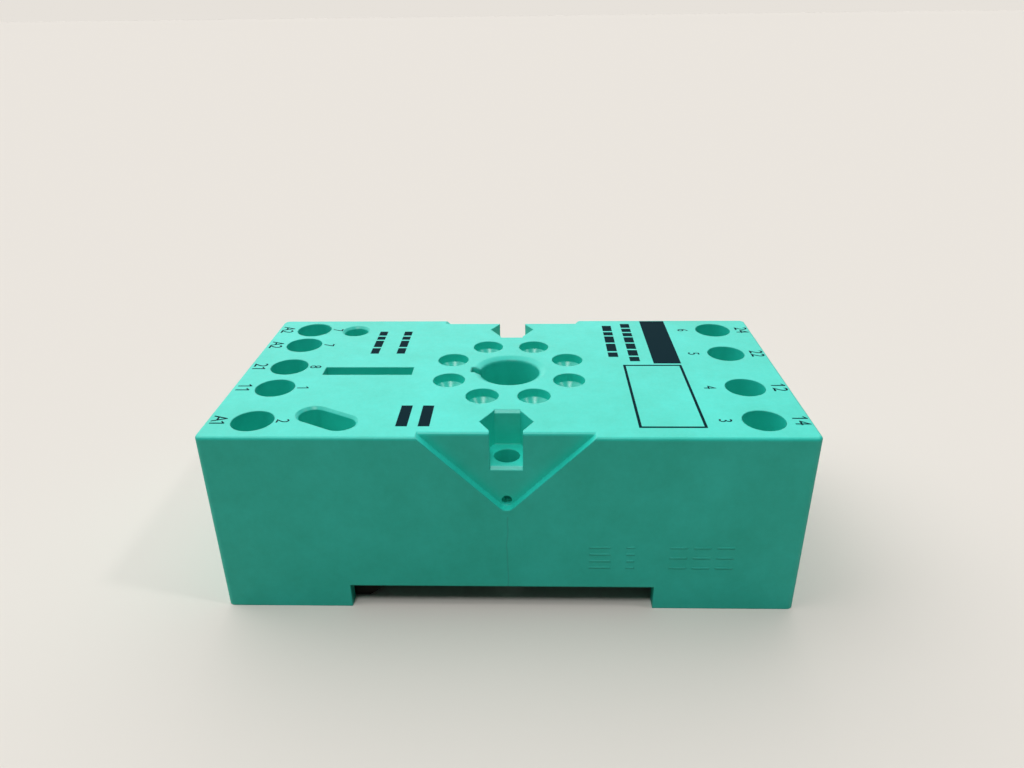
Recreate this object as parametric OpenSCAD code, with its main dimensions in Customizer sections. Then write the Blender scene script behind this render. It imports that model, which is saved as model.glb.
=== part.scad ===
// Eight-pin round relay socket with screw terminals, for a 35 mm mounting rail.
// Millimetres. X runs along the body, Y across it, and Z up from the feet.
// The origin is the middle of the footprint.

/* [Body] */
// Length of the body, end face to end face
body_len = 73.4; // [73:0.2:90]
// Depth of the body, long face to long face
body_depth = 38; // [38:0.2:46]
// Height of the body above its feet
body_height = 25.2; // [25:0.2:32]
// Thickness of the outer walls
wall = 1.8; // [1.5:0.1:2.1]
// Thickness of the top face
top_t = 2.4; // [2:0.1:2.8]
// Thickness of the inner walls
rib = 1.2; // [1:0.1:1.4]
// Radius of the upright corners
corner_r = 0.9; // [0.7:0.1:1.5]
// Radius round the relay face's outer edge
edge_r = 0.4; // [0.2:0.05:0.6]

/* [Relay pins and key] */
// Circle through the eight pin holes
pin_circle_d = 17.45; // [17.4:0.05:18]
// Diameter of a pin hole
pin_hole_d = 2.65; // [2.4:0.05:2.8]
// Diameter of the mouth above a pin hole
pin_mouth_d = 4.3; // [3.6:0.1:4.6]
// Depth of the mouth, down to its cone
pin_mouth_depth = 1.15; // [0.6:0.05:1.5]
// Straight length of a pin hole, below its cone
pin_land = 1.6; // [1.2:0.1:2]
// Diameter of the bore for the relay's key post
key_bore_d = 8.2; // [8:0.05:8.4]
// Depth of the key bore
key_bore_depth = 14.2; // [12:0.1:15]
// Width of the keyway
keyway_w = 1.6; // [1.2:0.1:2]
// Reach of the keyway from the bore's axis
keyway_reach = 5.3; // [4.8:0.1:5.4]
// Widening of the key bore's mouth, on the radius
key_mouth_extra = 0.8; // [0.3:0.1:1]
// Depth of the key bore's widened mouth
key_mouth_depth = 0.4; // [0.2:0.1:0.8]

/* [Terminals] */
// Diameter of the screw wells
well_d = 5.2; // [5:0.1:5.3]
// Distance from an end face to the well axes
well_inset = 5.8; // [5.7:0.1:6.4]
// Distance from a long face to the outer wells on the left
left_corner_row = 4.1; // [4:0.05:4.6]
// Distance from a long face to the outer wells on the right
right_corner_row = 4.35; // [4:0.05:4.6]
// Spacing of the two wells that share one contact
twin_pitch = 6.05; // [6:0.05:6.3]
// Place of the third well on the left, in Y
upper_mid_row = 1; // [0.6:0.1:1.4]
// Place of the fourth well on the left, in Y
lower_mid_row = -5.75; // [-6.2:0.05:-5.4]
// Distance from the middle plane to the inner wells on the right
right_mid_row = 5.55; // [4:0.05:6]
// Width of the wire entries
entry_w = 3.8; // [3.2:0.1:4]
// Height of the wire entries
entry_h = 3.9; // [3.2:0.1:4.2]
// Chamfer round the wire entries
entry_chamfer = 0.45; // [0.2:0.05:0.6]

/* [Clamps and screws] */
// Length of a clamp plate
clamp_len = 6; // [5:0.1:6.2]
// Width of a clamp plate
clamp_w = 5; // [4.4:0.1:5.1]
// Thickness of a clamp plate
clamp_t = 1; // [0.8:0.1:1.2]
// Travel of a clamp plate when its screw is undone
clamp_lift = 3; // [2.4:0.1:3.2]
// Diameter of the screw thread
screw_d = 2.9; // [2.5:0.1:2.9]
// Diameter of the screw head
head_d = 4.8; // [4.2:0.1:4.8]
// Height of the screw head
head_h = 2.2; // [1.6:0.1:2.4]
// Length of the screw below its head
shank_len = 5.6; // [5:0.1:5.8]

/* [Contacts] */
// Height of the contact strips' underside above the feet
strip_z = 10; // [9.6:0.1:10.6]
// Thickness of the contact strips
strip_t = 1.2; // [0.8:0.1:1.4]
// Width of the contact strips
strip_w = 3; // [2.6:0.1:3.2]
// Length of the threaded collar under a strip
collar_h = 1; // [0.6:0.1:1.2]
// Outer diameter of a contact sleeve
sleeve_d = 3.6; // [3.2:0.1:3.8]
// Bore of a contact sleeve, a little under the relay's pins
sleeve_bore = 2.3; // [2:0.05:2.3]
// Length of the slits that make a sleeve springy
slit_len = 6; // [4:0.5:8]

/* [Side recess and mounting holes] */
// Half width of the side recess at the top face
recess_half_w = 10.6; // [8:0.1:11.5]
// Depth of the side recess
recess_depth = 1.2; // [0.8:0.1:1.6]
// Radius at the foot of the side recess
recess_r = 1.1; // [0.5:0.1:2]
// Diameter of the hole for a retaining clip
clip_hole_d = 1.25; // [1:0.05:1.5]
// Height of the clip hole above the point of the V
clip_hole_rise = 1.2; // [1:0.1:2]
// Distance from a long face to the mounting hole
mount_inset = 4; // [3.8:0.1:4.4]
// Diameter of the mounting holes
mount_hole_d = 3.2; // [3:0.1:3.4]
// Width across flats of the mounting pocket
nut_af = 5.7; // [5.5:0.1:6]
// Depth of the mounting pocket
mount_pocket_depth = 4.75; // [3:0.05:5.5]
// Width of the pocket's way out to the long face
mount_mouth_w = 4; // [3:0.1:4.4]

/* [Small pockets] */
// Depth of the three blind pockets beside the left wells
pocket_depth = 8; // [4:0.5:8.5]
// Chamfer round the round and slanted pockets
pocket_chamfer = 0.35; // [0.2:0.05:0.5]
// Diameter of the round pocket
round_pocket_d = 3.55; // [3:0.05:4]
// Distance from the left end face to the round pocket
round_pocket_inset = 12.45; // [12:0.05:13]
// Distance from the back face to the round pocket
round_pocket_row = 4.5; // [4:0.1:5]
// Width of the slanted pocket
slant_pocket_w = 3.6; // [3:0.1:4]
// Distance between the slanted pocket's end centres
slant_pocket_run = 4.5; // [3:0.1:5]
// Angle of the slanted pocket
slant_angle = -29; // [-40:1:-20]
// Distance from the left end face to the slanted pocket
slant_pocket_inset = 14.65; // [14:0.05:15.5]
// Distance from the front face to the slanted pocket
slant_pocket_row = 4.85; // [4.6:0.05:5.2]
// Length of the straight pocket
slot_pocket_len = 12.3; // [8:0.1:12.5]
// Width of the straight pocket
slot_pocket_w = 2.5; // [2:0.1:3]
// Distance from the left end face to the straight pocket's middle
slot_pocket_inset = 17.2; // [16.8:0.1:17.6]
// Place of the straight pocket in Y
slot_pocket_y = -0.4; // [-0.8:0.1:0.4]

/* [Rail foot] */
// Width of the mounting rail
rail_w = 35; // [34.8:0.1:35.2]
// Thickness of the rail's flanges
rail_t = 1; // [0.8:0.1:1.5]
// Place of the rail's middle in X
rail_x = -0.85; // [-1:0.05:1]
// Width of the rail notch in the long walls
notch_w = 38.9; // [38:0.1:40]
// Height of the rail notch
notch_h = 3.4; // [3.2:0.1:3.8]
// Thickness of the base plate over the rail
plate_t = 1.6; // [1.4:0.1:1.8]
// Reach of the hooks under the rail's flanges
hook_reach = 1.35; // [1:0.05:1.5]
// Travel of the rail latch
latch_travel = 3; // [2:0.1:3.2]
// Width of the latch's stem
latch_w = 12; // [10:0.5:13]
// Width of the latch's tail
tail_w = 8; // [6:0.5:9]
// Width of each wing that carries the latch
wing_w = 1.4; // [1:0.1:2]
// Wire of the latch spring
spring_wire = 0.35; // [0.25:0.05:0.4]
// Outer diameter of the latch spring
spring_d = 2.1; // [1.8:0.1:2.1]
// Number of turns in the latch spring
spring_turns = 6; // [4:1:7]

/* [Fits] */
// Clearance between parts that slide past each other
slide_gap = 0.2; // [0.15:0.05:0.25]
// Clearance of the base plate inside the walls
plate_gap = 0.15; // [0.1:0.05:0.2]
// Clearance between a screw and its threaded hole, on the radius
thread_gap = 0.05; // [0.03:0.01:0.1]
// Clearance of a clamp plate in its chamber
clamp_gap = 0.15; // [0.1:0.05:0.2]
// Clearance round the rail
rail_gap = 0.25; // [0.15:0.05:0.3]

/* [Hidden] */
$fn = 48;
SIDES = [-1, 1];
cut = 0.5;         // how far a cut runs past the face it opens
bite = 0.4;        // how far an inner wall runs into the one it joins

body_green = [0.30, 0.78, 0.66];
base_black = [0.09, 0.09, 0.10];
brass = [0.80, 0.68, 0.36];
zinc = [0.74, 0.75, 0.77];

half_len = body_len / 2;
half_depth = body_depth / 2;
inner_len = half_len - wall;
inner_depth = half_depth - wall;
ceiling_z = body_height - top_t;
plate_top = notch_h + plate_t;

// Terminals: name, side, place in Y and the relay pin that each one serves
left_row = half_depth - left_corner_row;
right_row = half_depth - right_corner_row;
well_x = half_len - well_inset;
TERMINALS = [
    ["a1", -1, -left_row, 2],
    ["11", -1, lower_mid_row, 1],
    ["21", -1, upper_mid_row, 8],
    ["a2", -1, left_row - twin_pitch, 7],
    ["a2_twin", -1, left_row, 7],
    ["14", 1, -right_row, 3],
    ["12", 1, -right_mid_row, 4],
    ["22", 1, right_mid_row, 5],
    ["24", 1, right_row, 6],
];

// Relay pins: number 1 stands just in front of the keyway, and they count anticlockwise from above
PIN_COUNT = 8;
pin_r = pin_circle_d / 2;
function pin_angle(n) = 180 + 45 * (n - 0.5);
function pin_xy(n) = pin_r * [cos(pin_angle(n)), sin(pin_angle(n))];

// Heights of the pieces stacked in a terminal, from the strip up
strip_top = strip_z + strip_t;
clamp_top = strip_top + clamp_t;
chamber_top = clamp_top + clamp_lift + slide_gap;
collar_z = strip_z - collar_h;

// A terminal's chamber, which holds the clamp plate and the end of the strip
chamber_w = clamp_w + 2 * clamp_gap;
chamber_in = well_x - clamp_len / 2 - 2 * slide_gap;
chamber_out = well_x + clamp_len / 2 + 2 * slide_gap;
cavity_x = chamber_in - rib;
strip_hole_r = screw_d / 2 + thread_gap;
collar_wall = 0.6;
collar_r = strip_hole_r + collar_wall;
pad_len = clamp_len + slide_gap;

// Contact sleeves and the tubes that hold them
sleeve_r = sleeve_d / 2;
tube_bore_r = sleeve_r + slide_gap;
tube_r = tube_bore_r + rib;
cone_h = (pin_mouth_d - pin_hole_d) / 2;
tube_bore_top = body_height - pin_mouth_depth - cone_h - pin_land;
sleeve_top = tube_bore_top - 2 * slide_gap;
pin_pad_r = tube_bore_r + rib / 3;
key_floor_z = body_height - key_bore_depth;
key_tube_r = keyway_reach + rib / 2;
jog_lead = 0.5;     // straight run between a sleeve's tube and the strip's jog
jog_tail = 4.5;     // straight run between the jog and the terminal block
jog_start = pin_r + tube_r + jog_lead;
jog_end = cavity_x - jog_tail;

// Side recess
recess_point_z = body_height - recess_half_w;
mount_y = half_depth - mount_inset;
ledge_z = body_height - mount_pocket_depth;
boss_r = mount_hole_d / 2 + rib;

// Rail foot
foot_lift = 0.3;   // the base plate stays clear of the surface that the walls stand on
rail_left = rail_x - rail_w / 2;
rail_right = rail_x + rail_w / 2;
hook_top = notch_h - rail_t - rail_gap / 2;
plate_len = inner_len - plate_gap;
plate_depth = inner_depth - plate_gap;
foot_left = rail_left - rail_gap;
foot_right = rail_x + notch_w / 2 + bite;

// Rail latch, at rest against its inner stop
latch_top = notch_h - slide_gap;
latch_bottom = foot_lift + slide_gap;
wing_share = 0.45;  // part of the latch's height that its wings take
wing_bottom = latch_top - (latch_top - latch_bottom) * wing_share;
latch_nose = rail_right - hook_reach;
wing_start = foot_right + rib + slide_gap;
channel_end = plate_len - rib;
wing_end = channel_end - latch_travel - slide_gap;
tail_end = half_len - slide_gap;

// Spring pocket in the latch, and the post of the base plate that stands in it
spring_r = spring_d / 2;
pocket_half_w = spring_r + slide_gap;
pocket_floor_t = 0.5;
pocket_end_t = 1;
pocket_floor = latch_bottom + pocket_floor_t;
post_t = 1.2;
pocket_start = wing_start + pocket_end_t;
post_end = wing_end - slide_gap;
post_start = post_end - post_t;
pocket_end = wing_end;
spring_z = pocket_floor + spring_r + slide_gap / 4;
peg_len = 0.8;

// Snap hooks that hold the base plate in the long walls
hook_w = 4;
hook_t = 1.25;
hook_h = 3;
hook_barb = 0.6;
snap_x = cavity_x - 5;

// ---------- shared shapes ----------

// A rectangle with true arcs at its corners
module rounded_rect(w, d, r) {
    square([w - 2 * r, d], center = true);
    square([w, d - 2 * r], center = true);
    for (sx = SIDES, sy = SIDES)
        translate([sx * (w / 2 - r), sy * (d / 2 - r)]) circle(r);
}

// A box between two corners
module box(low, high) {
    translate(low) cube(high - low);
}

// A profile in X and Z, drawn out evenly to both sides of the middle plane
module along_y(width) {
    rotate([90, 0, 0]) linear_extrude(width, center = true) children();
}

// Both long sides: the front one as drawn, and its mirror image at the back
module both_long_sides() {
    children();
    mirror([0, 1, 0]) children();
}

// A V with 45 degree sides, open at the top, with a rounded point
module v_profile(half_w, r, top_z, rise) {
    arc_z = top_z - half_w + r * sqrt(2);
    polygon(concat(
        [[-half_w - rise, top_z + rise]],
        [for (a = [225 : 7.5 : 315]) [r * cos(a), arc_z + r * sin(a)]],
        [[half_w + rise, top_z + rise]]
    ));
}

// ---------- housing: the body block ----------

module body_block() {
    difference() {
        linear_extrude(body_height) rounded_rect(body_len, body_depth, corner_r);
        for (end = [0, 1], side = [0, 1])
            mirror([end, 0, 0]) mirror([0, side, 0]) top_edge_waste();
    }
}

// What a rounded edge takes off a square one, whose corner is the origin
module edge_waste() {
    translate([-edge_r, -edge_r])
        difference() {
            square(edge_r + cut);
            circle(edge_r);
        }
}

// Waste along a quarter of the relay face's outer edge: half of each side and the corner between
module top_edge_waste() {
    translate([0, half_depth, body_height])
        rotate([90, 0, 90]) linear_extrude(half_len - corner_r) edge_waste();
    translate([half_len, half_depth - corner_r, body_height])
        rotate([90, 0, 0]) linear_extrude(half_depth - corner_r) edge_waste();
    translate([half_len - corner_r, half_depth - corner_r, body_height])
        rotate_extrude(angle = 90) translate([corner_r, 0]) edge_waste();
}

// Space for the base plate, and the space above it between the two terminal blocks
module main_cavity() {
    box([-inner_len, -inner_depth, -cut], [inner_len, inner_depth, plate_top]);
    box([-cavity_x, -inner_depth, 0], [cavity_x, inner_depth, ceiling_z]);
}

// Notch in both long walls, through which the rail runs
module rail_notch() {
    box([rail_x - notch_w / 2, -half_depth - cut, -cut],
        [rail_x + notch_w / 2, half_depth + cut, notch_h]);
}

// Window in the right end wall for the latch's tail
module tail_window() {
    half_w = tail_w / 2 + slide_gap;
    box([inner_len - cut, -half_w, -cut], [half_len + cut, half_w, notch_h]);
}

// ---------- housing: terminals ----------

// Rectangle that grows by its chamfer towards the end face
module wire_entry() {
    length = half_len - chamber_out;
    mid_z = strip_top + entry_h / 2;
    translate([chamber_out, 0, mid_z]) {
        box([-cut, -entry_w / 2, -entry_h / 2], [length + cut, entry_w / 2, entry_h / 2]);
        intersection() {
            along_y(body_depth) entry_flare(length, entry_h);
            linear_extrude(body_height, center = true) entry_flare(length, entry_w);
        }
    }
}

module entry_flare(length, size) {
    half = size / 2;
    c = entry_chamfer;
    polygon([[length - c, -half], [length + cut, -half - c - cut],
             [length + cut, half + c + cut], [length - c, half]]);
}

// Well, clamp chamber, way in for the strip and wire entry of one right-hand terminal
module terminal_cut() {
    strip_half = strip_w / 2 + slide_gap;
    translate([well_x, 0, chamber_top - cut])
        cylinder(d = well_d, h = body_height - chamber_top + 2 * cut);
    box([chamber_in, -chamber_w / 2, plate_top - cut], [chamber_out, chamber_w / 2, chamber_top]);
    box([cavity_x - cut, -strip_half, plate_top - cut],
        [chamber_in + cut, strip_half, strip_top + slide_gap]);
    wire_entry();
}

module at_terminal(t) {
    translate([0, t[2], 0]) mirror([t[1] < 0 ? 1 : 0, 0, 0]) children();
}

// Pockets that keep the walls even where two chambers stand far apart
module coring(side) {
    rows = [for (t = TERMINALS) if (t[1] == side) t[2]];
    for (i = [0 : len(rows) - 2]) {
        low = rows[i] + chamber_w / 2 + rib;
        high = rows[i + 1] - chamber_w / 2 - rib;
        if (high - low > rib)
            mirror([side < 0 ? 1 : 0, 0, 0])
                box([cavity_x + rib, low, plate_top - cut], [inner_len, high, ceiling_z]);
    }
}

// ---------- housing: relay face ----------

module at_pins() {
    for (n = [1 : PIN_COUNT]) translate(pin_xy(n)) children();
}

// Tubes that hold the contact sleeves, round the tube of the key bore
module hub() {
    at_pins()
        translate([0, 0, strip_top]) cylinder(r = tube_r, h = ceiling_z - strip_top + bite);
    translate([0, 0, key_floor_z - rib])
        cylinder(r = key_tube_r, h = ceiling_z - key_floor_z + rib + bite);
}

// A pin hole with its mouth and cone above and the sleeve's bore below
module pin_hole_cut() {
    cone_z = body_height - pin_mouth_depth - cone_h;
    translate([0, 0, body_height - pin_mouth_depth])
        cylinder(d = pin_mouth_d, h = pin_mouth_depth + cut);
    translate([0, 0, cone_z]) cylinder(d1 = pin_hole_d, d2 = pin_mouth_d, h = cone_h);
    translate([0, 0, tube_bore_top - cut]) cylinder(d = pin_hole_d, h = pin_land + cut);
    translate([0, 0, strip_top - cut])
        cylinder(r = tube_bore_r, h = tube_bore_top - strip_top + cut);
}

module key_bore_cut() {
    translate([0, 0, key_floor_z]) cylinder(d = key_bore_d, h = key_bore_depth + cut);
    box([-keyway_reach, -keyway_w / 2, key_floor_z], [0, keyway_w / 2, body_height + cut]);
    translate([0, 0, body_height - key_mouth_depth])
        cylinder(d1 = key_bore_d, d2 = key_bore_d + 2 * key_mouth_extra, h = key_mouth_depth);
}

// ---------- housing: small pockets ----------

// A slot with round ends, along X
module obround(w, run) {
    square([run, w], center = true);
    for (s = SIDES) translate([s * run / 2, 0]) circle(d = w);
}

module at_round_pocket() {
    translate([-half_len + round_pocket_inset, half_depth - round_pocket_row, 0]) children();
}

module at_slant_pocket() {
    translate([-half_len + slant_pocket_inset, -half_depth + slant_pocket_row, 0])
        rotate(slant_angle) children();
}

module at_slot_pocket() {
    translate([-half_len + slot_pocket_inset, slot_pocket_y, 0]) children();
}

// Walls of the three blind pockets, under the top face
module pocket_walls() {
    floor_z = body_height - pocket_depth - rib;
    height = ceiling_z - floor_z + bite;
    translate([0, 0, floor_z]) {
        at_round_pocket() cylinder(d = round_pocket_d + 2 * rib, h = height);
        at_slant_pocket() linear_extrude(height) obround(slant_pocket_w + 2 * rib, slant_pocket_run);
        at_slot_pocket()
            linear_extrude(height)
                square([slot_pocket_len + 2 * rib, slot_pocket_w + 2 * rib], center = true);
    }
}

module pocket_cuts() {
    floor_z = body_height - pocket_depth;
    depth = pocket_depth + cut;
    translate([0, 0, floor_z]) {
        at_round_pocket() cylinder(d = round_pocket_d, h = depth);
        at_slant_pocket() linear_extrude(depth) obround(slant_pocket_w, slant_pocket_run);
        at_slot_pocket()
            linear_extrude(depth) square([slot_pocket_len, slot_pocket_w], center = true);
    }
    translate([0, 0, body_height - pocket_chamfer]) {
        at_round_pocket() chamfer_cone(round_pocket_d);
        at_slant_pocket() {
            for (s = SIDES) translate([s * slant_pocket_run / 2, 0, 0]) chamfer_cone(slant_pocket_w);
            rotate([90, 0, 90])
                linear_extrude(slant_pocket_run, center = true) chamfer_bevel(slant_pocket_w);
        }
    }
}

module chamfer_cone(d) {
    cylinder(d1 = d, d2 = d + 2 * pocket_chamfer, h = pocket_chamfer);
}

module chamfer_bevel(w) {
    half = w / 2;
    polygon([[-half, 0], [half, 0], [half + pocket_chamfer, pocket_chamfer],
             [-half - pocket_chamfer, pocket_chamfer]]);
}

// ---------- housing: side recess and mounting holes, at the front ----------

// The V in the front face, with its edge to the relay face rounded
module recess_cut() {
    translate([0, -half_depth + recess_depth / 2 - cut / 2, 0])
        along_y(recess_depth + cut) v_profile(recess_half_w, recess_r, body_height, cut);
    intersection() {
        along_y(body_depth) v_profile(recess_half_w, recess_r, body_height, cut);
        translate([0, recess_depth - half_depth, body_height])
            rotate([90, 0, -90]) linear_extrude(body_len, center = true) edge_waste();
    }
}

// Copy of the V inside, which keeps the wall's thickness
module recess_backing() {
    spread = wall * sqrt(2);
    intersection() {
        translate([0, -inner_depth + recess_depth / 2 - bite / 2, 0])
            along_y(recess_depth + bite)
                v_profile(recess_half_w + spread, recess_r + wall, body_height, 0);
        box([-half_len, -half_depth, 0], [half_len, 0, ceiling_z + bite]);
    }
}

// Boss round the mounting hole, widened under the top face to hold the pocket
module mounting_boss() {
    pocket_half = nut_af / 2 / cos(30) + rib;
    back_y = mount_y - nut_af / 2 - rib;
    translate([0, -mount_y, plate_top]) cylinder(r = boss_r, h = ceiling_z - plate_top + bite);
    box([-boss_r, -inner_depth - bite, plate_top], [boss_r, -mount_y, ceiling_z + bite]);
    box([-pocket_half, -inner_depth - bite, ledge_z - rib], [pocket_half, -back_y, ceiling_z + bite]);
}

module mounting_cut() {
    edge = 0.4;
    back_y = -mount_y + nut_af / 2;
    floor_y = -half_depth + recess_depth;
    translate([0, -mount_y, plate_top - cut]) cylinder(d = mount_hole_d, h = body_height);
    translate([0, -mount_y, ledge_z])
        cylinder(d = nut_af / cos(30), h = mount_pocket_depth + cut, $fn = 6);
    box([-mount_mouth_w / 2, -half_depth - cut, ledge_z],
        [mount_mouth_w / 2, -mount_y, body_height + cut]);
    // bevels along the pocket's back edge and along the front edge of its ledge
    translate([0, back_y, body_height]) bevel_bar(nut_af / sqrt(3), edge);
    translate([0, floor_y, ledge_z]) bevel_bar(mount_mouth_w, edge);
    translate([0, -half_depth, recess_point_z + clip_hole_rise])
        rotate([-90, 0, 0]) cylinder(d = clip_hole_d, h = mount_inset);
}

// A square bar turned on edge, which bevels the edge it lies on
module bevel_bar(length, size) {
    rotate([45, 0, 0]) cube([length, size * sqrt(2), size * sqrt(2)], center = true);
}

// Recesses inside the long walls that the base plate's hooks snap into
module snap_recess() {
    barb_z = plate_top + hook_h - 2 * hook_barb;
    for (s = SIDES)
        translate([s * snap_x, 0, 0])
            box([-hook_w / 2 - slide_gap, -inner_depth - hook_barb - bite / 2, barb_z - slide_gap / 2],
                [hook_w / 2 + slide_gap, -inner_depth + cut, plate_top + hook_h]);
}

// ---------- housing ----------

module housing() {
    color(body_green)
        difference() {
            union() {
                difference() {
                    body_block();
                    main_cavity();
                }
                hub();
                pocket_walls();
                both_long_sides() {
                    recess_backing();
                    mounting_boss();
                }
            }
            rail_notch();
            tail_window();
            for (t = TERMINALS) at_terminal(t) terminal_cut();
            for (side = SIDES) coring(side);
            at_pins() pin_hole_cut();
            key_bore_cut();
            pocket_cuts();
            both_long_sides() {
                recess_cut();
                mounting_cut();
                snap_recess();
            }
        }
}

// ---------- base plate ----------

// Posts that press the contacts up against the housing
module contact_posts() {
    at_pins()
        translate([0, 0, plate_top - bite]) cylinder(r = sleeve_r, h = strip_z - plate_top + bite);
    for (t = TERMINALS)
        at_terminal(t)
            translate([well_x, 0, plate_top - bite])
                difference() {
                    cylinder(r = clamp_w / 2 - clamp_gap, h = collar_z - plate_top + bite);
                    translate([0, 0, bite])
                        cylinder(r = strip_hole_r + slide_gap, h = collar_z);
                }
}

// A springy hook that stands on the plate and snaps into a long wall
module snap_hook() {
    top = plate_top + hook_h;
    barb_z = top - 2 * hook_barb;
    outer = -plate_depth;
    translate([-hook_w / 2, 0, 0])
        rotate([90, 0, 90])
            linear_extrude(hook_w)
                polygon([[outer + hook_t, plate_top - bite], [outer, plate_top - bite],
                         [outer, barb_z], [outer - hook_barb, barb_z], [outer, top - slide_gap],
                         [outer + hook_t, top - slide_gap]]);
}

// The fixed hook's lip, under the rail's left flange
module fixed_hook() {
    tip = rail_left + hook_reach;
    tip_t = 1;
    along_y(2 * plate_depth)
        polygon([[foot_left - bite, hook_top], [tip, hook_top], [tip, hook_top - tip_t],
                 [foot_left + rail_gap, foot_lift], [foot_left - bite, foot_lift]]);
}

// Hollows that lighten a foot from below
module foot_hollows(x_low, x_high, y_low, y_high, count) {
    pitch = (y_high - y_low + rib) / count;
    for (i = [0 : count - 1])
        box([x_low, y_low + i * pitch, -cut], [x_high, y_low + (i + 1) * pitch - rib, notch_h]);
}

// T-shaped channel that the latch slides in
module latch_channel() {
    stem = latch_w / 2 + slide_gap;
    wing = stem + wing_w;
    tail = tail_w / 2 + slide_gap;
    box([foot_right - cut, -stem, -cut], [channel_end, stem, notch_h]);
    box([wing_start - slide_gap, -wing, wing_bottom - slide_gap], [channel_end, wing, notch_h]);
    box([channel_end - cut, -tail, -cut], [plate_len + cut, tail, notch_h]);
}

module base_plate() {
    side_in = latch_w / 2 + slide_gap + wing_w + rib;
    side_out = plate_depth - rib;
    color(base_black)
        difference() {
            union() {
                box([-plate_len, -plate_depth, notch_h], [plate_len, plate_depth, plate_top]);
                difference() {
                    box([-plate_len, -plate_depth, foot_lift], [foot_left, plate_depth, notch_h + bite]);
                    foot_hollows(-plate_len + rib, foot_left - rib, -side_out, side_out, 3);
                }
                difference() {
                    box([foot_right, -plate_depth, foot_lift],
                        [plate_len, plate_depth, notch_h + bite]);
                    foot_hollows(foot_right + rib, plate_len - rib, side_in, side_out, 1);
                    foot_hollows(foot_right + rib, plate_len - rib, -side_out, -side_in, 1);
                    latch_channel();
                }
                fixed_hook();
                spring_post();
                contact_posts();
                both_long_sides()
                    for (s = SIDES) translate([s * snap_x, 0, 0]) snap_hook();
            }
            both_long_sides()
                translate([0, -mount_y, 0])
                    cylinder(d = mount_hole_d, h = body_height);
        }
}

// The post that the latch spring pushes against, with a peg inside the spring
module spring_post() {
    half_w = pocket_half_w - slide_gap / 2;
    box([post_start, -half_w, pocket_floor + slide_gap], [post_end, half_w, notch_h + bite]);
    translate([post_start - peg_len, 0, spring_z]) spring_peg();
}

module spring_peg() {
    peg_r = spring_r - spring_wire - slide_gap / 2;
    rotate([0, 90, 0]) cylinder(r = peg_r, h = peg_len + bite);
}

// ---------- rail latch and its spring ----------

module rail_latch() {
    stem = latch_w / 2;
    tail = tail_w / 2;
    face = rail_right + rail_gap;
    nose_end = foot_right - bite;
    blade_slot = 1;
    color(base_black) {
        difference() {
            union() {
                along_y(latch_w)
                    polygon([[face, latch_top], [face, hook_top], [latch_nose, hook_top],
                             [latch_nose, hook_top - rib / 3], [face, latch_bottom],
                             [nose_end, latch_bottom], [nose_end, latch_top]]);
                box([nose_end - bite, -stem, latch_bottom], [wing_end, stem, latch_top]);
                box([wing_start, -stem - wing_w, wing_bottom], [wing_end, stem + wing_w, latch_top]);
                box([wing_end - bite, -tail, latch_bottom], [tail_end, tail, latch_top]);
            }
            box([pocket_start, -pocket_half_w, pocket_floor],
                [pocket_end, pocket_half_w, latch_top + cut]);
            // slot for a screwdriver's blade
            box([tail_end - 2 * blade_slot, -tail + rib, -cut],
                [tail_end - blade_slot, tail - rib, latch_top + cut]);
        }
        translate([pocket_start - bite, 0, spring_z]) spring_peg();
    }
}

// Wire of the compression spring: rings of points carried along a helix
module latch_spring() {
    ring = 8;
    turn_steps = 16;
    steps = spring_turns * turn_steps;
    wire_r = spring_wire / 2;
    coil_r = spring_r - wire_r;
    start = pocket_start + wire_r + bite / 8;
    run = post_start - wire_r - bite / 8 - start;
    function at(i, j) =
        let (turn = 360 * spring_turns * i / steps, a = 360 * j / ring,
             r = coil_r + wire_r * cos(a))
        [start + run * i / steps + wire_r * sin(a), r * cos(turn), spring_z + r * sin(turn)];
    points = [for (i = [0 : steps], j = [0 : ring - 1]) at(i, j)];
    sides = [for (i = [0 : steps - 1], j = [0 : ring - 1])
        let (k = (j + 1) % ring) [i * ring + j, i * ring + k, (i + 1) * ring + k, (i + 1) * ring + j]];
    ends = [[for (j = [ring - 1 : -1 : 0]) j], [for (j = [0 : ring - 1]) steps * ring + j]];
    color(zinc) polyhedron(points, concat(sides, ends), convexity = 6);
}

// ---------- contacts ----------

// Springy sleeve that grips a relay pin, with a lead-in at its mouth
module contact_sleeve() {
    lead = 0.3;
    slit_w = 0.5;
    translate([0, 0, strip_z])
        difference() {
            cylinder(r = sleeve_r, h = sleeve_top - strip_z);
            translate([0, 0, strip_t]) cylinder(d = sleeve_bore, h = sleeve_top);
            translate([0, 0, sleeve_top - strip_z - lead])
                cylinder(d1 = sleeve_bore, d2 = sleeve_bore + 2 * lead, h = lead);
            for (a = [45, 135])
                rotate(a)
                    box([-sleeve_r - cut, -slit_w / 2, sleeve_top - strip_z - slit_len],
                        [sleeve_r + cut, slit_w / 2, sleeve_top]);
        }
}

// Flat outline of one strip, from its pin straight out, across to its row, and into the chamber
module strip_outline(pin, terminal) {
    side = terminal[1];
    from = pin_xy(pin);
    row = terminal[2];
    half = strip_w / 2;
    end_x = side * (well_x - half);
    translate(from) circle(pin_pad_r);
    polygon([[from[0], from[1] - half], [side * jog_start, from[1] - half],
             [side * jog_end, row - half], [end_x, row - half],
             [end_x, row + half], [side * jog_end, row + half],
             [side * jog_start, from[1] + half], [from[0], from[1] + half]]);
    translate([side * well_x, row]) square([pad_len, clamp_w], center = true);
}

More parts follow.
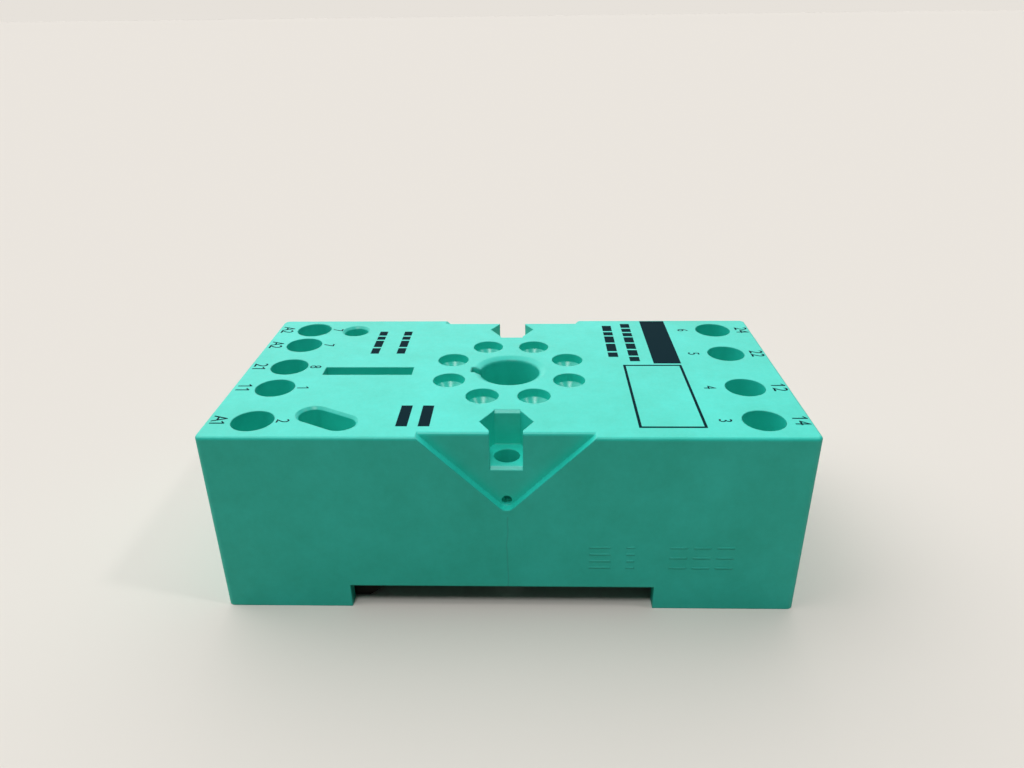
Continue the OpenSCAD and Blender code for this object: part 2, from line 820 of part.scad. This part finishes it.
// Bar that joins the two rows of a contact with twin terminals
module twin_outline(rows, side) {
    half = strip_w / 2;
    x = side * (jog_end + half);
    translate([x - half, rows[0] - half]) square([strip_w, rows[1] - rows[0] + strip_w]);
    translate([side > 0 ? x - half : -well_x, rows[1] - half])
        square([well_x - jog_end, strip_w]);
    translate([side * well_x, rows[1]]) square([pad_len, clamp_w], center = true);
}

module contact(pin) {
    served = [for (t = TERMINALS) if (t[3] == pin) t];
    color(brass)
        difference() {
            union() {
                translate([0, 0, strip_z])
                    linear_extrude(strip_t) {
                        strip_outline(pin, served[0]);
                        if (len(served) > 1)
                            twin_outline([for (t = served) t[2]], served[0][1]);
                    }
                translate(pin_xy(pin)) contact_sleeve();
                for (t = served)
                    at_terminal(t)
                        translate([well_x, 0, collar_z]) cylinder(r = collar_r, h = collar_h + strip_t / 2);
            }
            for (t = served)
                at_terminal(t)
                    translate([well_x, 0, collar_z - cut])
                        cylinder(r = strip_hole_r, h = collar_h + strip_t + 2 * cut);
        }
}

// ---------- clamp plates and screws ----------

// Plate with trimmed corners that rides on its screw and presses the wire down
module clamp_plate() {
    trim = 0.6;
    half_l = clamp_len / 2;
    half_w = clamp_w / 2;
    corners = [for (s = SIDES) each [[s * half_l, s * (trim - half_w)], [s * half_l, s * (half_w - trim)],
                                     [s * (half_l - trim), s * half_w], [s * (trim - half_l), s * half_w]]];
    color(zinc)
        translate([well_x, 0, strip_top])
            difference() {
                linear_extrude(clamp_t) polygon(corners);
                translate([0, 0, -cut]) cylinder(d = screw_d + 2 * slide_gap, h = clamp_t + 2 * cut);
            }
}

// Cheese-head screw with a plain slot
module terminal_screw() {
    slot_w = 0.8;
    slot_depth = 1;
    tip = 0.4;
    color(zinc)
        translate([well_x, 0, clamp_top])
            difference() {
                union() {
                    cylinder(d = head_d, h = head_h);
                    translate([0, 0, tip - shank_len]) cylinder(d = screw_d, h = shank_len - tip + bite);
                    translate([0, 0, -shank_len])
                        cylinder(d1 = screw_d - 2 * tip, d2 = screw_d, h = tip);
                }
                box([-head_d, -slot_w / 2, head_h - slot_depth], [head_d, slot_w / 2, head_h + cut]);
            }
}

// ---------- the pieces ----------

housing();
base_plate();
rail_latch();
latch_spring();
for (n = [1 : PIN_COUNT])
    contact(n);
for (t = TERMINALS) {
    at_terminal(t) clamp_plate();
    at_terminal(t) terminal_screw();
}
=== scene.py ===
import math

import bmesh
import bpy
from mathutils import Matrix, Vector


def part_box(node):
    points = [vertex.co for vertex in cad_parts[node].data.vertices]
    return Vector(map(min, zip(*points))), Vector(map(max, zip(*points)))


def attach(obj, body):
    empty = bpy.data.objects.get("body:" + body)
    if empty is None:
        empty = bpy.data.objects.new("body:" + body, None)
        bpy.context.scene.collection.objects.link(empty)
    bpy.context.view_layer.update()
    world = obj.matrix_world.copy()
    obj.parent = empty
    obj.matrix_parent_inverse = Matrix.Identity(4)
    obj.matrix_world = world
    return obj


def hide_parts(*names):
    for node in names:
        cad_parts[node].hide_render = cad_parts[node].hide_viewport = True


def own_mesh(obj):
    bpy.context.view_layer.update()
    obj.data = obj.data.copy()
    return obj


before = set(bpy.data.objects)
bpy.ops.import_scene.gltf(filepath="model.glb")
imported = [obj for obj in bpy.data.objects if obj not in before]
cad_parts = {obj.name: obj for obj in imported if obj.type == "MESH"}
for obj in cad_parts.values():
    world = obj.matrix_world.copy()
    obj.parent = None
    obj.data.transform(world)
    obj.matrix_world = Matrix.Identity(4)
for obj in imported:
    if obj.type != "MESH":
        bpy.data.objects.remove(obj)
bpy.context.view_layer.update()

# ---------------------------------------------------------------- housing
# The housing is one injection moulding in glass-filled polyamide, dyed mint green right through.
# The mould leaves a fine even grain, soft edges, faint flow clouds on the relay face and a knit
# line under the V where two streams of plastic met.

MM = 0.001


def srgb(value):
    """Linear colour from an sRGB hex value such as 0x55CBB5."""
    channels = [(value >> shift & 255) / 255 for shift in (16, 8, 0)]
    linear = [c / 12.92 if c <= 0.04045 else ((c + 0.055) / 1.055) ** 2.4 for c in channels]
    return (*linear, 1.0)


def add_node(tree, kind, links, **settings):
    """Adds a shader node. links gives its inputs, each as a value or as another node's output."""
    made = tree.nodes.new("ShaderNode" + kind)
    for name, value in settings.items():
        setattr(made, name, value)
    for name, value in links.items():
        if isinstance(value, bpy.types.NodeSocket):
            tree.links.new(value, made.inputs[name])
        else:
            made.inputs[name].default_value = value
    return made


def new_material(name):
    """An empty node material, its tree and its object coordinates."""
    made = bpy.data.materials.new(name)
    made.use_nodes = True
    made.node_tree.nodes.clear()
    place = add_node(made.node_tree, "TexCoord", {}).outputs["Object"]
    return made, made.node_tree, place


def finish_material(tree, shader):
    add_node(tree, "OutputMaterial", {"Surface": shader.outputs[0]})


def set_material(obj, material):
    obj.data.materials.clear()
    obj.data.materials.append(material)


# the grain is drawn a little coarser than the mould's, so that it shows
grain, grain_depth = 0.22 * MM, 0.02 * MM
grain_rough, edge_rough, core_rough = (0.36, 0.48), 0.37, 0.3
cloud = 14 * MM
top_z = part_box("housing")[1].z
core_top = top_z - 0.2 * MM
pin_circle_r, mouth_r = 17.45 / 2 * MM, 2.4 * MM
well_x, well_r = 30.9 * MM, 2.65 * MM
long_side = 18.9 * MM
edge_r = 0.2 * MM
rim_r, rim_w, rim_edge_r = 4.6 * MM, 0.95 * MM, 0.7 * MM
lean_middle, lean_span = 0.6, 0.38
knit_top, knit_half_w, knit_strength = 14.2 * MM, 0.1 * MM, 0.2
wander_step, wander_w = 3 * MM, 0.25 * MM

green_polyamide, tree, place = new_material("green_moulded_polyamide")
clouds = add_node(tree, "TexNoise", {"Vector": place, "Scale": 1 / cloud, "Detail": 7.0,
                                     "Roughness": 0.8})
pits = add_node(tree, "TexNoise", {"Vector": place, "Scale": 1 / grain, "Detail": 2.0,
                                   "Roughness": 0.6})
colour = add_node(tree, "ValToRGB", {"Fac": clouds.outputs["Fac"]})
colour.color_ramp.elements[0].position = 0.35
colour.color_ramp.elements[0].color = srgb(0x24D1BC)
colour.color_ramp.elements[1].position = 0.68
colour.color_ramp.elements[1].color = srgb(0x31E1D0)
textured = add_node(tree, "MapRange", {
    "Value": pits.outputs["Fac"], "From Min": 0.3, "From Max": 0.7,
    "To Min": grain_rough[0], "To Max": grain_rough[1]})
# the pin holes and the screw wells come off polished cores, so they shine
parts = add_node(tree, "SeparateXYZ", {"Vector": place})
sideways = add_node(tree, "VectorMath", {0: place}, operation="ABSOLUTE")
sides = add_node(tree, "SeparateXYZ", {"Vector": sideways.outputs["Vector"]})
across = add_node(tree, "VectorMath", {0: place, 1: (1.0, 1.0, 0.0)}, operation="MULTIPLY")
off_axis = add_node(tree, "VectorMath", {0: across.outputs["Vector"]}, operation="LENGTH")
in_ring = add_node(tree, "Math", {0: off_axis.outputs["Value"], 1: pin_circle_r, 2: mouth_r},
                   operation="COMPARE")
in_rows = add_node(tree, "Math", {0: sides.outputs["X"], 1: well_x, 2: well_r}, operation="COMPARE")
inside = add_node(tree, "Math", {0: sides.outputs["Y"], 1: long_side}, operation="LESS_THAN")
in_well = add_node(tree, "Math", {0: in_rows.outputs["Value"], 1: inside.outputs["Value"]},
                   operation="MULTIPLY")
on_core = add_node(tree, "Math", {0: in_ring.outputs["Value"], 1: in_well.outputs["Value"]},
                   operation="MAXIMUM")
below = add_node(tree, "Math", {0: parts.outputs["Z"], 1: core_top}, operation="LESS_THAN")
polished = add_node(tree, "Math", {0: on_core.outputs["Value"], 1: below.outputs["Value"]},
                    operation="MULTIPLY")
# edges and chamfers lean between upright and level, and come off the mould a little smoother
at_rim = add_node(tree, "Math", {0: off_axis.outputs["Value"], 1: rim_r, 2: rim_w},
                  operation="COMPARE")
rounding = add_node(tree, "Mix", {"Factor": at_rim.outputs["Value"], "A": edge_r, "B": rim_edge_r},
                    data_type="FLOAT")
edges = add_node(tree, "Bevel", {"Radius": rounding.outputs["Result"]}, samples=6)
facing = add_node(tree, "SeparateXYZ", {"Vector": edges.outputs["Normal"]})
lean = add_node(tree, "Math", {0: facing.outputs["Z"], 1: lean_middle, 2: lean_span},
                operation="COMPARE")
moulded = add_node(tree, "Mix", {"Factor": lean.outputs["Value"], "A": textured.outputs["Result"],
                                 "B": edge_rough}, data_type="FLOAT")
gloss = add_node(tree, "Mix", {"Factor": polished.outputs["Value"], "A": moulded.outputs["Result"],
                               "B": core_rough}, data_type="FLOAT")
# the knit line: a hairline that wanders a little, on the middle of the long faces
wander = add_node(tree, "TexNoise", {"Vector": place, "Scale": 1 / wander_step, "Detail": 1.0})
shift = add_node(tree, "MapRange", {"Value": wander.outputs["Fac"],
                                    "To Min": -wander_w, "To Max": wander_w})
line_x = add_node(tree, "Math", {0: parts.outputs["X"], 1: shift.outputs["Result"], 2: knit_half_w},
                  operation="COMPARE")
low_down = add_node(tree, "Math", {0: parts.outputs["Z"], 1: knit_top}, operation="LESS_THAN")
outside = add_node(tree, "Math", {0: sides.outputs["Y"], 1: long_side}, operation="GREATER_THAN")
low_line = add_node(tree, "Math", {0: line_x.outputs["Value"], 1: low_down.outputs["Value"]},
                    operation="MULTIPLY")
knit = add_node(tree, "Math", {0: low_line.outputs["Value"], 1: outside.outputs["Value"]},
                operation="MULTIPLY")
faint_knit = add_node(tree, "Math", {0: knit.outputs["Value"], 1: knit_strength},
                      operation="MULTIPLY")
shade = add_node(tree, "Mix", {"Factor": faint_knit.outputs["Value"],
                               "A": colour.outputs["Color"], "B": srgb(0x2E8F80)}, data_type="RGBA")
relief = add_node(tree, "Bump", {"Height": pits.outputs["Fac"], "Strength": 0.25,
                                 "Distance": grain_depth, "Normal": edges.outputs["Normal"]})
finish_material(tree, add_node(tree, "BsdfPrincipled", {
    "Base Color": shade.outputs["Result"], "Roughness": gloss.outputs["Result"], "IOR": 1.53,
    "Normal": relief.outputs["Normal"]}))
set_material(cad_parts["housing"], green_polyamide)

# ---------------------------------------------------------------- raised marks
# A moulding has small raised marks that are cut into the mould's face. Here they are plain low
# bars, at the right of the front face, in the housing's own plastic.


def add_object(name, data):
    made = bpy.data.objects.new(name, data)
    bpy.context.scene.collection.objects.link(made)
    return made


def new_mesh(name, shape):
    """A mesh with the shape of a bmesh, which is freed."""
    mesh = bpy.data.meshes.new(name)
    shape.to_mesh(mesh)
    shape.free()
    return mesh


def cube_between(shape, low_corner, high_corner):
    """Adds a cube between two opposite corners."""
    low_corner, high_corner = Vector(low_corner), Vector(high_corner)
    size = Matrix.Diagonal((*(high_corner - low_corner), 1))
    middle = Matrix.Translation((low_corner + high_corner) / 2)
    bmesh.ops.create_cube(shape, size=1, matrix=middle @ size)


mark_rise = 0.02 * MM
mark_h = 0.3 * MM
lowest_z, rows_h = 6.5 * MM, 3.1 * MM
front_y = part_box("housing")[0].y
marks = bmesh.new()
# each column of marks: its two sides in millimetres from the middle, and its rows
for first_x, last_x, rows in ((10.2, 12.9, 4), (14.8, 15.9, 4), (20.2, 22.4, 3), (23.1, 25.3, 3),
                              (26.0, 28.2, 3)):
    for row in range(rows):
        mark_z = lowest_z + rows_h * row / (rows - 1)
        cube_between(marks, (first_x * MM, front_y - mark_rise, mark_z - mark_h / 2),
                     (last_x * MM, front_y + mark_rise, mark_z + mark_h / 2))
corners = [e for e in marks.edges if e.calc_length() < mark_h / 2]
bmesh.ops.bevel(marks, geom=corners, offset=0.4 * mark_h, segments=3, profile=0.5,
                affect="EDGES", material=-1)
raised_marks = add_object("raised_marks", new_mesh("raised_marks", marks))
set_material(raised_marks, green_polyamide)
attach(raised_marks, "socket")

# ---------------------------------------------------------------- base plate and rail latch
# The plate that closes the housing from below and the sliding latch are moulded in black polyamide.
# Both carry the same fine grain, which leaves them a dull sheen.

black_polyamide, tree, place = new_material("black_moulded_polyamide")
pits = add_node(tree, "TexNoise", {"Vector": place, "Scale": 1 / grain, "Detail": 2.0,
                                   "Roughness": 0.6})
colour = add_node(tree, "ValToRGB", {"Fac": pits.outputs["Fac"]})
colour.color_ramp.elements[0].color = srgb(0x0A0B0C)
colour.color_ramp.elements[1].color = srgb(0x131416)
gloss = add_node(tree, "MapRange", {"Value": pits.outputs["Fac"], "From Min": 0.3, "From Max": 0.7,
                                    "To Min": 0.42, "To Max": 0.58})
edges = add_node(tree, "Bevel", {"Radius": edge_r}, samples=4)
relief = add_node(tree, "Bump", {"Height": pits.outputs["Fac"], "Strength": 0.35,
                                 "Distance": grain_depth, "Normal": edges.outputs["Normal"]})
finish_material(tree, add_node(tree, "BsdfPrincipled", {
    "Base Color": colour.outputs["Color"], "Roughness": gloss.outputs["Result"],
    "Specular IOR Level": 0.3, "Normal": relief.outputs["Normal"]}))
for name in ("base_plate", "rail_latch"):
    set_material(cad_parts[name], black_polyamide)

# ---------------------------------------------------------------- contacts
# Each contact is stamped and rolled from one strip of brass, with a slit sleeve for the relay's pin.
# Rolling leaves fine streaks in the brass, some a little duller than others.

streak, streak_narrowing = 2.5 * MM, 18.0
stamped_edge_r = 0.08 * MM

contact_brass, tree, place = new_material("stamped_brass")
streak_place = add_node(tree, "Mapping", {"Vector": place, "Scale": (1.0, streak_narrowing, 1.0)})
streaks = add_node(tree, "TexNoise", {"Vector": streak_place.outputs["Vector"],
                                      "Scale": 1 / streak, "Detail": 3.0, "Roughness": 0.6})
colour = add_node(tree, "ValToRGB", {"Fac": streaks.outputs["Fac"]})
colour.color_ramp.elements[0].color = srgb(0xB58E45)
colour.color_ramp.elements[1].color = srgb(0xE0BF74)
gloss = add_node(tree, "MapRange", {"Value": streaks.outputs["Fac"], "To Min": 0.22, "To Max": 0.42})
edges = add_node(tree, "Bevel", {"Radius": stamped_edge_r}, samples=4)
finish_material(tree, add_node(tree, "BsdfPrincipled", {
    "Base Color": colour.outputs["Color"], "Metallic": 1.0, "Roughness": gloss.outputs["Result"],
    "Normal": edges.outputs["Normal"]}))
for number in range(1, 9):
    set_material(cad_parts[f"contact_{number}"], contact_brass)

# ---------------------------------------------------------------- clamp plates
# Each clamp plate is a stamped steel rectangle with trimmed corners, zinc plated and passivated.
# It hangs under the screw's head and presses the wire down on the contact. The plating clouds a
# little as it sets.

TERMINALS = [name[len("clamp_"):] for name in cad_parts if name.startswith("clamp_")]
plating_cloud = 0.8 * MM
plated_edge_r = 0.1 * MM

zinc_plate, tree, place = new_material("zinc_plated_steel")
blotches = add_node(tree, "TexNoise", {"Vector": place, "Scale": 1 / plating_cloud, "Detail": 4.0,
                                       "Roughness": 0.6})
colour = add_node(tree, "ValToRGB", {"Fac": blotches.outputs["Fac"]})
colour.color_ramp.elements[0].color = srgb(0xA9ADB2)
colour.color_ramp.elements[1].color = srgb(0xD5D8DB)
gloss = add_node(tree, "MapRange", {"Value": blotches.outputs["Fac"], "To Min": 0.28,
                                    "To Max": 0.46})
edges = add_node(tree, "Bevel", {"Radius": plated_edge_r}, samples=4)
finish_material(tree, add_node(tree, "BsdfPrincipled", {
    "Base Color": colour.outputs["Color"], "Metallic": 1.0, "Roughness": gloss.outputs["Result"],
    "Normal": edges.outputs["Normal"]}))
for name in TERMINALS:
    set_material(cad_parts[f"clamp_{name}"], zinc_plate)

# ---------------------------------------------------------------- terminal screws
# Cheese-head screws of zinc-plated steel, cold headed with a plain slot, their thread rolled.
# One is made on its own axis, and a copy stands in each well.

pitch, turn_steps = 0.5 * MM, 24
crest_r, root_r = 1.45 * MM, 1.18 * MM
ridge_half, ridge_sunk = 0.44 * pitch, 0.04 * MM
tip_taper = 0.75
head_edge_r = 0.12 * MM
crease = 0.6
same_point = 0.001 * MM
low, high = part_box("screw_14")
to_axis = Matrix.Translation((-(low.x + high.x) / 2, -(low.y + high.y) / 2, 0))
neck_z = high.z - 2.5 * MM
tip_z = low.z

# the head: the plain CAD screw with its slot, cut off at the neck, its edges broken
screw = bmesh.new()
screw.from_mesh(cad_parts["screw_14"].data)
screw.transform(to_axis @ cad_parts["screw_14"].matrix_world)
bmesh.ops.remove_doubles(screw, verts=screw.verts, dist=same_point)
bmesh.ops.dissolve_limit(screw, angle_limit=0.01, verts=screw.verts, edges=screw.edges)
bmesh.ops.bisect_plane(screw, geom=screw.verts[:] + screw.edges[:] + screw.faces[:],
                       plane_co=(0, 0, neck_z), plane_no=(0, 0, 1), clear_inner=True)
bmesh.ops.holes_fill(screw, edges=[e for e in screw.edges if e.is_boundary])
sharp = [e for e in screw.edges if e.is_convex and e.calc_face_angle(0) > crease and
         max(v.co.z for v in e.verts) > neck_z + 0.2 * MM]
bmesh.ops.bevel(screw, geom=sharp, offset=head_edge_r, segments=3, profile=0.5, affect="EDGES",
                material=-1)

# the shank: a core with a pointed tip, and the ridge of the thread wound round it
core = bmesh.ops.create_cone(screw, cap_ends=True, segments=32, radius1=root_r, radius2=root_r,
                             depth=neck_z - tip_z,
                             matrix=Matrix.Translation((0, 0, (neck_z + tip_z) / 2)))
bottom = [v for v in core["verts"] if v.co.z < tip_z + pitch / 2]
bmesh.ops.scale(screw, verts=bottom, vec=(tip_taper, tip_taper, 1))
turns = int((neck_z - tip_z) / pitch) - 1
start_z = tip_z + 0.6 * pitch
ridge = [screw.verts.new(corner) for corner in
         ((root_r - ridge_sunk, 0, start_z - ridge_half), (crest_r, 0, start_z),
          (root_r - ridge_sunk, 0, start_z + ridge_half))]
loop = [screw.edges.new((ridge[i], ridge[(i + 1) % 3])) for i in range(3)]
bmesh.ops.spin(screw, geom=ridge + loop, axis=(0, 0, 1), dvec=(0, 0, pitch / turn_steps),
               angle=2 * math.pi * turns, steps=turn_steps * turns)
bmesh.ops.holes_fill(screw, edges=[e for e in screw.edges if e.is_boundary], sides=3)
bmesh.ops.recalc_face_normals(screw, faces=screw.faces)
for face in screw.faces:
    face.smooth = True
for edge in screw.edges:
    edge.smooth = edge.calc_face_angle(0) < crease
screw_mesh = new_mesh("terminal_screw", screw)
for name in TERMINALS:
    low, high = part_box(f"screw_{name}")
    mesh = screw_mesh.copy()
    mesh.transform(Matrix.Translation(((low.x + high.x) / 2, (low.y + high.y) / 2, 0)))
    piece = add_object(f"terminal_screw_{name}", mesh)
    set_material(piece, zinc_plate)
    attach(piece, f"screw_{name}")
    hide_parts(f"screw_{name}")

# ---------------------------------------------------------------- latch spring
# A compression spring coiled from drawn steel wire, its end turns wound close. It pushes the latch
# towards the rail and shortens as the latch is pulled out; here it is drawn at one length.

drawing_mark = 0.3 * MM

spring_steel, tree, place = new_material("drawn_spring_steel")
drawn = add_node(tree, "TexNoise", {"Vector": place, "Scale": 1 / drawing_mark, "Detail": 2.0,
                                    "Roughness": 0.5})
colour = add_node(tree, "ValToRGB", {"Fac": drawn.outputs["Fac"]})
colour.color_ramp.elements[0].color = srgb(0x7E8388)
colour.color_ramp.elements[1].color = srgb(0xA4A9AE)
finish_material(tree, add_node(tree, "BsdfPrincipled", {
    "Base Color": colour.outputs["Color"], "Metallic": 1.0, "Roughness": 0.28}))

wire_r, wire_sides, coil_steps = 0.175 * MM, 12, 32
low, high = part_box("latch_spring")
axis_z = (low.z + high.z) / 2
coil_r = (high.z - low.z) / 2 - wire_r
close_turns, open_turns = 0.75, 4.5
close_pitch = 0.4 * MM
open_pitch = (high.x - low.x - 2 * wire_r - 2 * close_turns * close_pitch) / open_turns
spring = bmesh.new()
wire_start = Matrix.Translation((low.x + wire_r, coil_r, axis_z))
ring = bmesh.ops.create_circle(spring, segments=wire_sides, radius=wire_r, matrix=wire_start)
end = ring["verts"] + spring.edges[:]
for turns, coil_pitch in ((close_turns, close_pitch), (open_turns, open_pitch),
                          (close_turns, close_pitch)):
    steps = round(coil_steps * turns)
    end = bmesh.ops.spin(spring, geom=end, cent=(0, 0, axis_z), axis=(1, 0, 0),
                         dvec=(coil_pitch * turns / steps, 0, 0), angle=2 * math.pi * turns,
                         steps=steps)["geom_last"]
bmesh.ops.holes_fill(spring, edges=[e for e in spring.edges if e.is_boundary])
bmesh.ops.recalc_face_normals(spring, faces=spring.faces)
for face in spring.faces:
    face.smooth = len(face.verts) == 4
coil_spring = add_object("coil_spring", new_mesh("coil_spring", spring))
set_material(coil_spring, spring_steel)
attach(coil_spring, "socket")
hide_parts("latch_spring")
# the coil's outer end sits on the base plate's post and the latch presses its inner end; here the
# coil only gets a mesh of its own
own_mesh(coil_spring)

# ---------------------------------------------------------------- printing
# The numbers are pad printed on the relay face in blue-black ink, about a hundredth of a
# millimetre thick, to be read from the left.

ink_t = 0.012 * MM

print_ink, tree, _ = new_material("pad_printing_ink")
finish_material(tree, add_node(tree, "BsdfPrincipled", {
    "Base Color": srgb(0x04262E), "Roughness": 0.8, "Specular IOR Level": 0.05}))

# the letters are condensed and set close: these are shares of a letter's height, but for the
# width, which is a share of its own
letter_step, letter_width, cap_share = 0.62, 0.85, 0.7
flag_len, flag_t, flag_back, flag_up, flag_angle = 0.34, 0.1, 0.12, 0.4, math.radians(38)


def print_number(sheet, text, height, x, y):
    """Adds one number to sheet with its middle at x, y, turned to be read from the left."""
    reading = Matrix.Translation((x, y, top_z + ink_t / 2)) @ Matrix.Rotation(-math.pi / 2, 4, "Z")
    for i, sign in enumerate(text):
        curve = bpy.data.curves.new("print", "FONT")
        curve.body = sign
        curve.align_x = "CENTER"
        curve.align_y = "CENTER"
        curve.size = height / cap_share
        curve.resolution_u = 4
        curve.extrude = ink_t / 2
        holder = add_object("print", curve)
        bpy.context.view_layer.update()
        flat = bpy.data.meshes.new_from_object(
            holder.evaluated_get(bpy.context.evaluated_depsgraph_get()))
        bpy.data.objects.remove(holder)
        step = (i - (len(text) - 1) / 2) * letter_step * height
        flat.transform(reading @ Matrix.Translation((step, 0, 0))
                       @ Matrix.Diagonal((letter_width, 1, 1, 1)))
        sheet.from_mesh(flat)
        bpy.data.meshes.remove(flat)
        if sign == "1":
            # the flag at the top of the upright
            flag = (Matrix.Translation((step - flag_back * height, flag_up * height, 0))
                    @ Matrix.Rotation(flag_angle, 4, "Z")
                    @ Matrix.Diagonal((flag_len * height, flag_t * height, ink_t, 1)))
            bmesh.ops.create_cube(sheet, size=1, matrix=reading @ flag)


PIN_OF = {"a1": "2", "11": "1", "21": "8", "a2": "7", "a2_twin": "7", "14": "3", "12": "4", "22": "5",
          "24": "6"}
label_h, pin_h = 1.9 * MM, 1.6 * MM
label_x = 35.2 * MM
left_pin_x, right_pin_x = -27.3 * MM, 26.2 * MM
ink = bmesh.new()
for name, pin in PIN_OF.items():
    low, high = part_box(f"screw_{name}")
    middle = (low + high) / 2
    on_right = middle.x > 0
    print_number(ink, name.split("_")[0].upper(), label_h, label_x if on_right else -label_x,
                 middle.y)
    print_number(ink, pin, pin_h, right_pin_x if on_right else left_pin_x, middle.y)


def ink_bar(low_x, high_x, low_y, high_y):
    """A printed bar between two corners, given in millimetres."""
    cube_between(ink, (low_x * MM, low_y * MM, top_z), (high_x * MM, high_y * MM, top_z + ink_t))


# an empty field with a thin outline, and a solid bar behind it
line_w = 0.35 * MM
low_x, high_x, low_y, high_y = 15.75 * MM, 23.85 * MM, -16.5 * MM, 1.63 * MM
field_place = (Matrix.Translation(((low_x + high_x) / 2, (low_y + high_y) / 2, top_z))
               @ Matrix.Diagonal((high_x - low_x, high_y - low_y, 1, 1)))
corners = bmesh.ops.create_grid(ink, x_segments=1, y_segments=1, size=0.5, matrix=field_place)
field = corners["verts"][0].link_faces[0]
outline = bmesh.ops.inset_individual(ink, faces=[field], thickness=line_w, use_even_offset=True)
bmesh.ops.delete(ink, geom=[field], context="FACES_ONLY")
upper = bmesh.ops.extrude_face_region(ink, geom=outline["faces"], use_keep_orig=True)["geom"]
bmesh.ops.translate(ink, verts=[v for v in upper if isinstance(v, bmesh.types.BMVert)],
                    vec=(0, 0, ink_t))
bmesh.ops.recalc_face_normals(ink, faces=ink.faces)
ink_bar(20.1, 23.9, 2.1, 18.5)
# lines of plain dashes where a rating would stand, each from the back edge forwards
dash_gap = 0.45
for low_x, high_x, start_y, dashes in ((16.9, 18.3, 17.3, (1.6, 1.3, 1.3, 2.0, 2.0, 2.0, 1.5)),
                                       (14.0, 15.4, 16.5, (2.2, 1.3, 2.4, 2.8, 1.6)),
                                       (-20.4, -19.2, 14.2, (1.6, 1.2, 2.4, 2.0)),
                                       (-16.6, -15.4, 14.2, (1.6, 1.2, 2.4, 2.0))):
    for dash in dashes:
        ink_bar(low_x, high_x, start_y - dash, start_y)
        start_y -= dash + dash_gap
# two plain bars where a mark would stand
for low_x, high_x in ((-13.3, -11.9), (-10.6, -9.2)):
    ink_bar(low_x, high_x, -16.2, -10.8)
# the letters' flat faces are joined up, which takes out most slivers along their straight edges
bmesh.ops.remove_doubles(ink, verts=ink.verts, dist=same_point)
bmesh.ops.dissolve_limit(ink, angle_limit=0.02, verts=ink.verts, edges=ink.edges)
terminal_print = add_object("terminal_print", new_mesh("terminal_print", ink))
set_material(terminal_print, print_ink)
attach(terminal_print, "socket")

# ---------------------------------------------------------------- floor, light and camera
# A pale floor that runs out of sight, under a broad soft lamp high at the left and two narrower
# ones overhead and at the right, whose glints show in the pin holes. The room is lighter overhead
# and behind than in front.

sheet = bmesh.new()
bmesh.ops.create_grid(sheet, x_segments=1, y_segments=1, size=40.0)
floor = add_object("floor", new_mesh("floor", sheet))
# the camera sees a paler floor than the one that lights the part
floor_seen, floor_bounce = srgb(0xE2DDD6), srgb(0xA0988A)
floor_paint, tree, _ = new_material("pale_floor")
rays = add_node(tree, "LightPath", {})
tint = add_node(tree, "Mix", {"Factor": rays.outputs["Is Camera Ray"], "A": floor_bounce,
                              "B": floor_seen}, data_type="RGBA")
finish_material(tree, add_node(tree, "BsdfDiffuse", {"Color": tint.outputs["Result"]}))
set_material(floor, floor_paint)

light_side = (-0.3, 0.72, 0.62)
dim, bright, backdrop = 0.05, 1.56, 1.05
world = bpy.data.worlds.new("studio")
bpy.context.scene.world = world
world.use_nodes = True
tree = world.node_tree
tree.nodes.clear()
direction = add_node(tree, "TexCoord", {}).outputs["Generated"]
towards = add_node(tree, "VectorMath", {0: direction, 1: light_side}, operation="DOT_PRODUCT")
behind = add_node(tree, "MapRange", {"Value": towards.outputs["Value"], "From Min": 0.25,
                                     "From Max": 0.95, "To Min": dim, "To Max": bright})
rays = add_node(tree, "LightPath", {})
glow = add_node(tree, "Mix", {"Factor": rays.outputs["Is Camera Ray"],
                              "A": behind.outputs["Result"], "B": backdrop}, data_type="FLOAT")
air_tint = add_node(tree, "Mix", {"Factor": rays.outputs["Is Camera Ray"], "A": srgb(0xFFFFFF),
                                  "B": floor_seen}, data_type="RGBA")
air = add_node(tree, "Background", {"Color": air_tint.outputs["Result"],
                                    "Strength": glow.outputs["Result"]})
add_node(tree, "OutputWorld", {"Surface": air.outputs["Background"]})

# each lamp: its way from the part, its strength on a surface that faces it, its width in degrees
for name, toward, strength, width in (("window", (-0.58, 0.02, 0.81), 0.14, 40),
                                      ("ceiling", (-0.08, -0.41, 0.90), 0.28, 14),
                                      ("ceiling_right", (0.60, -0.13, 0.79), 0.10, 5)):
    lamp_data = bpy.data.lights.new(name, "SUN")
    lamp_data.energy = strength * math.pi
    lamp_data.angle = math.radians(width)
    lamp = add_object(name, lamp_data)
    lamp.matrix_world = Vector(toward).to_track_quat("Z", "Y").to_matrix().to_4x4()

camera_place = (3.02 * MM, -96.5 * MM, 69.4 * MM)
yaw, down, roll = math.radians(1.62), math.radians(25.66), math.radians(0.69)
camera_data = bpy.data.cameras.new("camera")
camera_data.lens = 27.04
camera_data.sensor_width = 36.0
camera_data.clip_start = 0.005
camera_data.clip_end = 50.0
camera = add_object("camera", camera_data)
camera.matrix_world = (Matrix.Translation(camera_place)
                       @ Matrix.Rotation(yaw, 4, "Z")
                       @ Matrix.Rotation(math.pi / 2 - down, 4, "X")
                       @ Matrix.Rotation(-roll, 4, "Z"))
bpy.context.scene.camera = camera
bpy.context.scene.view_settings.view_transform = "Standard"
